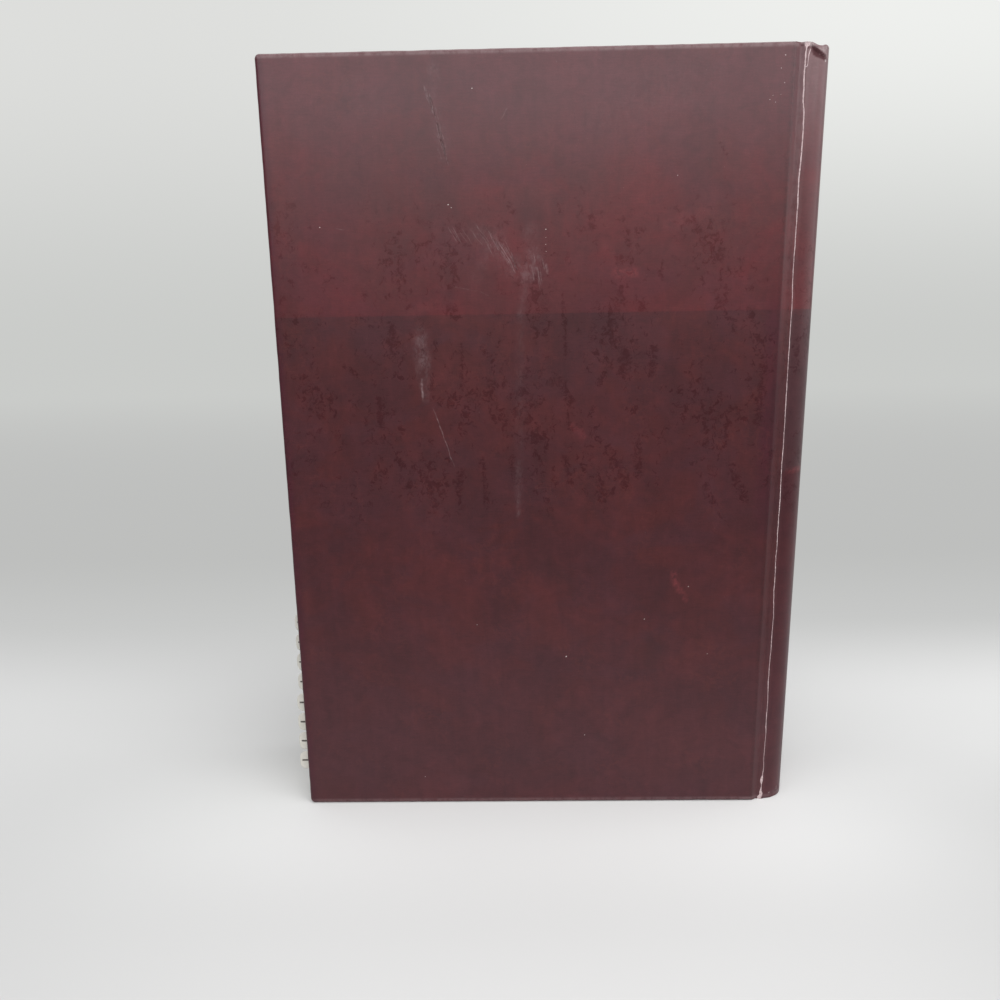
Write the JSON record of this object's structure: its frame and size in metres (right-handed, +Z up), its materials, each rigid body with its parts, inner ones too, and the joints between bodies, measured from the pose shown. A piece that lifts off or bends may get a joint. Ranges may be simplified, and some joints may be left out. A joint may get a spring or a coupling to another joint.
{
  "type": "hardback book",
  "caption": "Case-bound book standing on its tail, with hinged covers, a rounded spine, index tabs on the fore-edge and mottled dark red printed boards.",
  "frame": {"origin": "bottom centre of the whole book's box, on the surface that it stands on", "axes": "+Z up from tail to head, +X towards the spine, +Y from the back cover towards the front cover"},
  "size_m": [0.1718, 0.0416, 0.24],
  "materials": {
    "covering": "printed paper with a worn semi-gloss laminate, mottled dark red brown",
    "board": "grey millboard",
    "endpaper": "uncoated cream endpaper",
    "leaves": "uncoated book paper, trimmed edges",
    "tab": "stuck-on index tab, slightly glossy",
    "mull": "open cotton mull",
    "lining": "brown kraft paper",
    "band": "woven head band with a striped bead"
  },
  "bodies": {
    "block": {"text_block": "leaves", "back_flyleaf": "endpaper", "front_flyleaf": "endpaper", "spine_cover_sheet": "covering", "spine_stiffener": "board", "spine_mull": "mull", "spine_lining": "lining", "head_band": "band", "tail_band": "band", "index_tab_01": "tab", "index_tab_02": "tab", "index_tab_03": "tab", "index_tab_04": "tab", "index_tab_05": "tab", "index_tab_06": "tab", "index_tab_07": "tab", "index_tab_08": "tab", "index_tab_09": "tab", "index_tab_10": "tab", "index_tab_11": "tab", "index_tab_12": "tab", "index_tab_13": "tab", "index_tab_14": "tab", "index_tab_15": "tab", "index_tab_16": "tab", "index_tab_17": "tab", "index_tab_18": "tab", "index_tab_19": "tab", "index_tab_20": "tab", "index_tab_21": "tab", "index_tab_22": "tab", "index_tab_23": "tab", "index_tab_24": "tab", "index_tab_25": "tab", "index_tab_26": "tab", "index_tab_27": "tab", "index_tab_28": "tab", "index_tab_29": "tab", "index_tab_30": "tab", "index_tab_31": "tab"},
    "back_cover": {"back_board": "board", "back_cover_sheet": "covering", "back_pastedown": "endpaper"},
    "front_cover": {"front_board": "board", "front_cover_sheet": "covering", "front_pastedown": "endpaper"}
  },
  "joints": [
    {"name": "back_cover_hinge", "type": "hinge", "parent": "block", "child": "back_cover", "pos_m": [0.07553, -0.0202, 0.12], "axis": [0, 0, 1], "range_deg": [0, 175]},
    {"name": "front_cover_hinge", "type": "hinge", "parent": "block", "child": "front_cover", "pos_m": [0.07553, 0.0202, 0.12], "axis": [0, 0, -1], "range_deg": [0, 175]}
  ]
}
